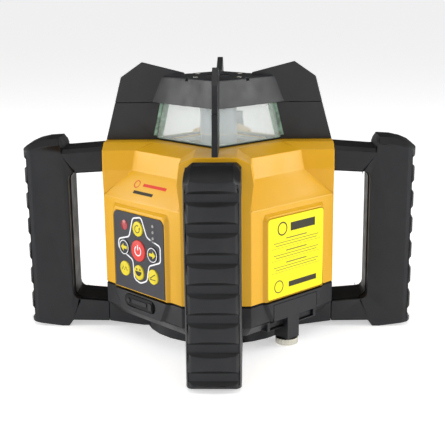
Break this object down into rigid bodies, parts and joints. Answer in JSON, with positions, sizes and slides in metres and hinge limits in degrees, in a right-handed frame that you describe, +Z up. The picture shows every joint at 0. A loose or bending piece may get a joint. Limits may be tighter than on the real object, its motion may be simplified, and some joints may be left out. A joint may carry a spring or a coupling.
{
  "type": "rotating laser level",
  "caption": "Self-levelling rotating laser in a square housing with corner loop handles, a glazed lantern, a keypad, a battery drawer and a tripod socket.",
  "frame": {"origin": "on the spin axis, in the plane of the feet", "axes": "+Z up along the spin axis; the loop handles point along +X, +Y, -X and -Y; the keypad face looks towards -X-Y and the label face towards +X-Y"},
  "size_m": [0.3, 0.3, 0.2048],
  "materials": {
    "yellow_shell": "moulded ABS, fine texture",
    "black_base": "moulded ABS, fine texture",
    "grip_black": "overmoulded grip",
    "lantern_black": "moulded, satin",
    "clear_glass": "clear with green edges",
    "white_plastic": "satin",
    "membrane_grey": "printed polyester",
    "label_yellow": "printed vinyl",
    "indicator_red": "tinted lens",
    "button_yellow": "domed key",
    "button_dark": "domed key",
    "button_red": "domed key",
    "rubber": "soft moulded",
    "cast_aluminium": "die cast",
    "brass_part": "machined",
    "circuit_board": "solder resist",
    "motor_case": "satin",
    "steel_part": "machined",
    "pulley_black": "moulded",
    "head_grey": "satin",
    "cell_wrap": "heat-shrink wrap"
  },
  "bodies": {
    "root": {"upper_shell": "yellow_shell", "base_moulding": "black_base", "body_gasket": "rubber", "handle_right": "grip_black", "handle_back": "grip_black", "handle_left": "grip_black", "handle_front": "grip_black", "lantern_frame": "lantern_black", "lantern_cap": "lantern_black", "zenith_window": "clear_glass", "window_glass_1": "clear_glass", "window_glass_2": "clear_glass", "window_glass_3": "clear_glass", "window_glass_4": "clear_glass", "dust_shield": "white_plastic", "keypad_membrane": "membrane_grey", "label_plate": "label_yellow", "status_lights": "membrane_grey", "indicator_lens": "indicator_red", "charging_socket": "black_base", "chassis": "cast_aluminium", "tripod_bush": "brass_part", "main_board": "circuit_board", "levelling_motor_x": "motor_case", "levelling_motor_y": "motor_case", "battery_contacts": "brass_part", "housing_screw_1": "steel_part", "housing_screw_2": "steel_part", "housing_screw_3": "steel_part", "housing_screw_4": "steel_part"},
    "gimbal": {"gimbal_ring": "cast_aluminium"},
    "cradle": {"cradle": "cast_aluminium", "laser_tube": "brass_part", "collimator_lens": "clear_glass", "lower_bearing": "steel_part", "upper_bearing": "steel_part", "level_sensor_x": "clear_glass", "level_sensor_y": "clear_glass", "spin_motor": "motor_case", "drive_belt": "rubber"},
    "head": {"spinning_head": "head_grey", "head_pulley": "pulley_black", "encoder_disc": "white_plastic", "penta_prism": "clear_glass"},
    "motor_shaft": {"motor_pulley": "pulley_black"},
    "plunger_x": {"levelling_plunger_x": "steel_part"},
    "plunger_y": {"levelling_plunger_y": "steel_part"},
    "battery_pack": {"battery_drawer": "black_base", "battery_cell_1": "cell_wrap", "battery_cell_2": "cell_wrap"},
    "thumbscrew": {"battery_thumbscrew": "steel_part"},
    "port_flap": {"port_cover": "rubber"},
    "speed_key": {"speed_button": "button_yellow"},
    "left_key": {"left_button": "button_dark"},
    "power_key": {"power_button": "button_red"},
    "right_key": {"right_button": "button_dark"},
    "scan_key": {"scan_button": "button_yellow"},
    "tilt_key": {"tilt_button": "button_yellow"},
    "slope_key": {"slope_button": "button_yellow"}
  },
  "joints": [
    {"name": "level_about_x", "type": "hinge", "parent": "root", "child": "gimbal", "pos_m": [0, 0, 0.118], "axis": [1, 0, 0], "range_deg": [-5, 5]},
    {"name": "level_about_y", "type": "hinge", "parent": "gimbal", "child": "cradle", "pos_m": [0, 0, 0.118], "axis": [0, 1, 0], "range_deg": [-5, 5]},
    {"name": "head_spin", "type": "hinge", "parent": "cradle", "child": "head", "pos_m": [0, 0, 0.163], "axis": [0, 0, 1], "continuous": true},
    {"name": "spin_motor_turn", "type": "hinge", "parent": "cradle", "child": "motor_shaft", "pos_m": [0.027, 0, 0.136], "axis": [0, 0, 1], "continuous": true},
    {"name": "plunger_x_travel", "type": "slide", "parent": "root", "child": "plunger_x", "axis": [0, 0, 1], "range_m": [-0.003, 0.003]},
    {"name": "plunger_y_travel", "type": "slide", "parent": "root", "child": "plunger_y", "axis": [0, 0, 1], "range_m": [-0.003, 0.003]},
    {"name": "battery_slide", "type": "slide", "parent": "root", "child": "battery_pack", "axis": [0.7071, -0.7071, 0], "range_m": [0, 0.06]},
    {"name": "thumbscrew_turn", "type": "hinge", "parent": "battery_pack", "child": "thumbscrew", "pos_m": [0.05109, -0.05462, 0.003], "axis": [0, 0, 1], "continuous": true},
    {"name": "port_flap_hinge", "type": "hinge", "parent": "root", "child": "port_flap", "pos_m": [-0.07071, -0.04483, 0.0315], "axis": [0, 0, -1], "range_deg": [0, 110]},
    {"name": "speed_press", "type": "slide", "parent": "root", "child": "speed_key", "axis": [0.7071, 0.7071, 0], "range_m": [0, 0.0007], "stiffness_N_per_m": 1500},
    {"name": "left_press", "type": "slide", "parent": "root", "child": "left_key", "axis": [0.7071, 0.7071, 0], "range_m": [0, 0.0007], "stiffness_N_per_m": 1500},
    {"name": "power_press", "type": "slide", "parent": "root", "child": "power_key", "axis": [0.7071, 0.7071, 0], "range_m": [0, 0.0007], "stiffness_N_per_m": 1500},
    {"name": "right_press", "type": "slide", "parent": "root", "child": "right_key", "axis": [0.7071, 0.7071, 0], "range_m": [0, 0.0007], "stiffness_N_per_m": 1500},
    {"name": "scan_press", "type": "slide", "parent": "root", "child": "scan_key", "axis": [0.7071, 0.7071, 0], "range_m": [0, 0.0007], "stiffness_N_per_m": 1500},
    {"name": "tilt_press", "type": "slide", "parent": "root", "child": "tilt_key", "axis": [0.7071, 0.7071, 0], "range_m": [0, 0.0007], "stiffness_N_per_m": 1500},
    {"name": "slope_press", "type": "slide", "parent": "root", "child": "slope_key", "axis": [0.7071, 0.7071, 0], "range_m": [0, 0.0007], "stiffness_N_per_m": 1500}
  ],
  "couplings": [
    {"joint": "spin_motor_turn", "follows": "head_spin", "ratio": 3},
    {"joint": "plunger_x_travel", "follows": "level_about_x", "m_per_rad": -0.032},
    {"joint": "plunger_y_travel", "follows": "level_about_y", "m_per_rad": 0.032}
  ]
}
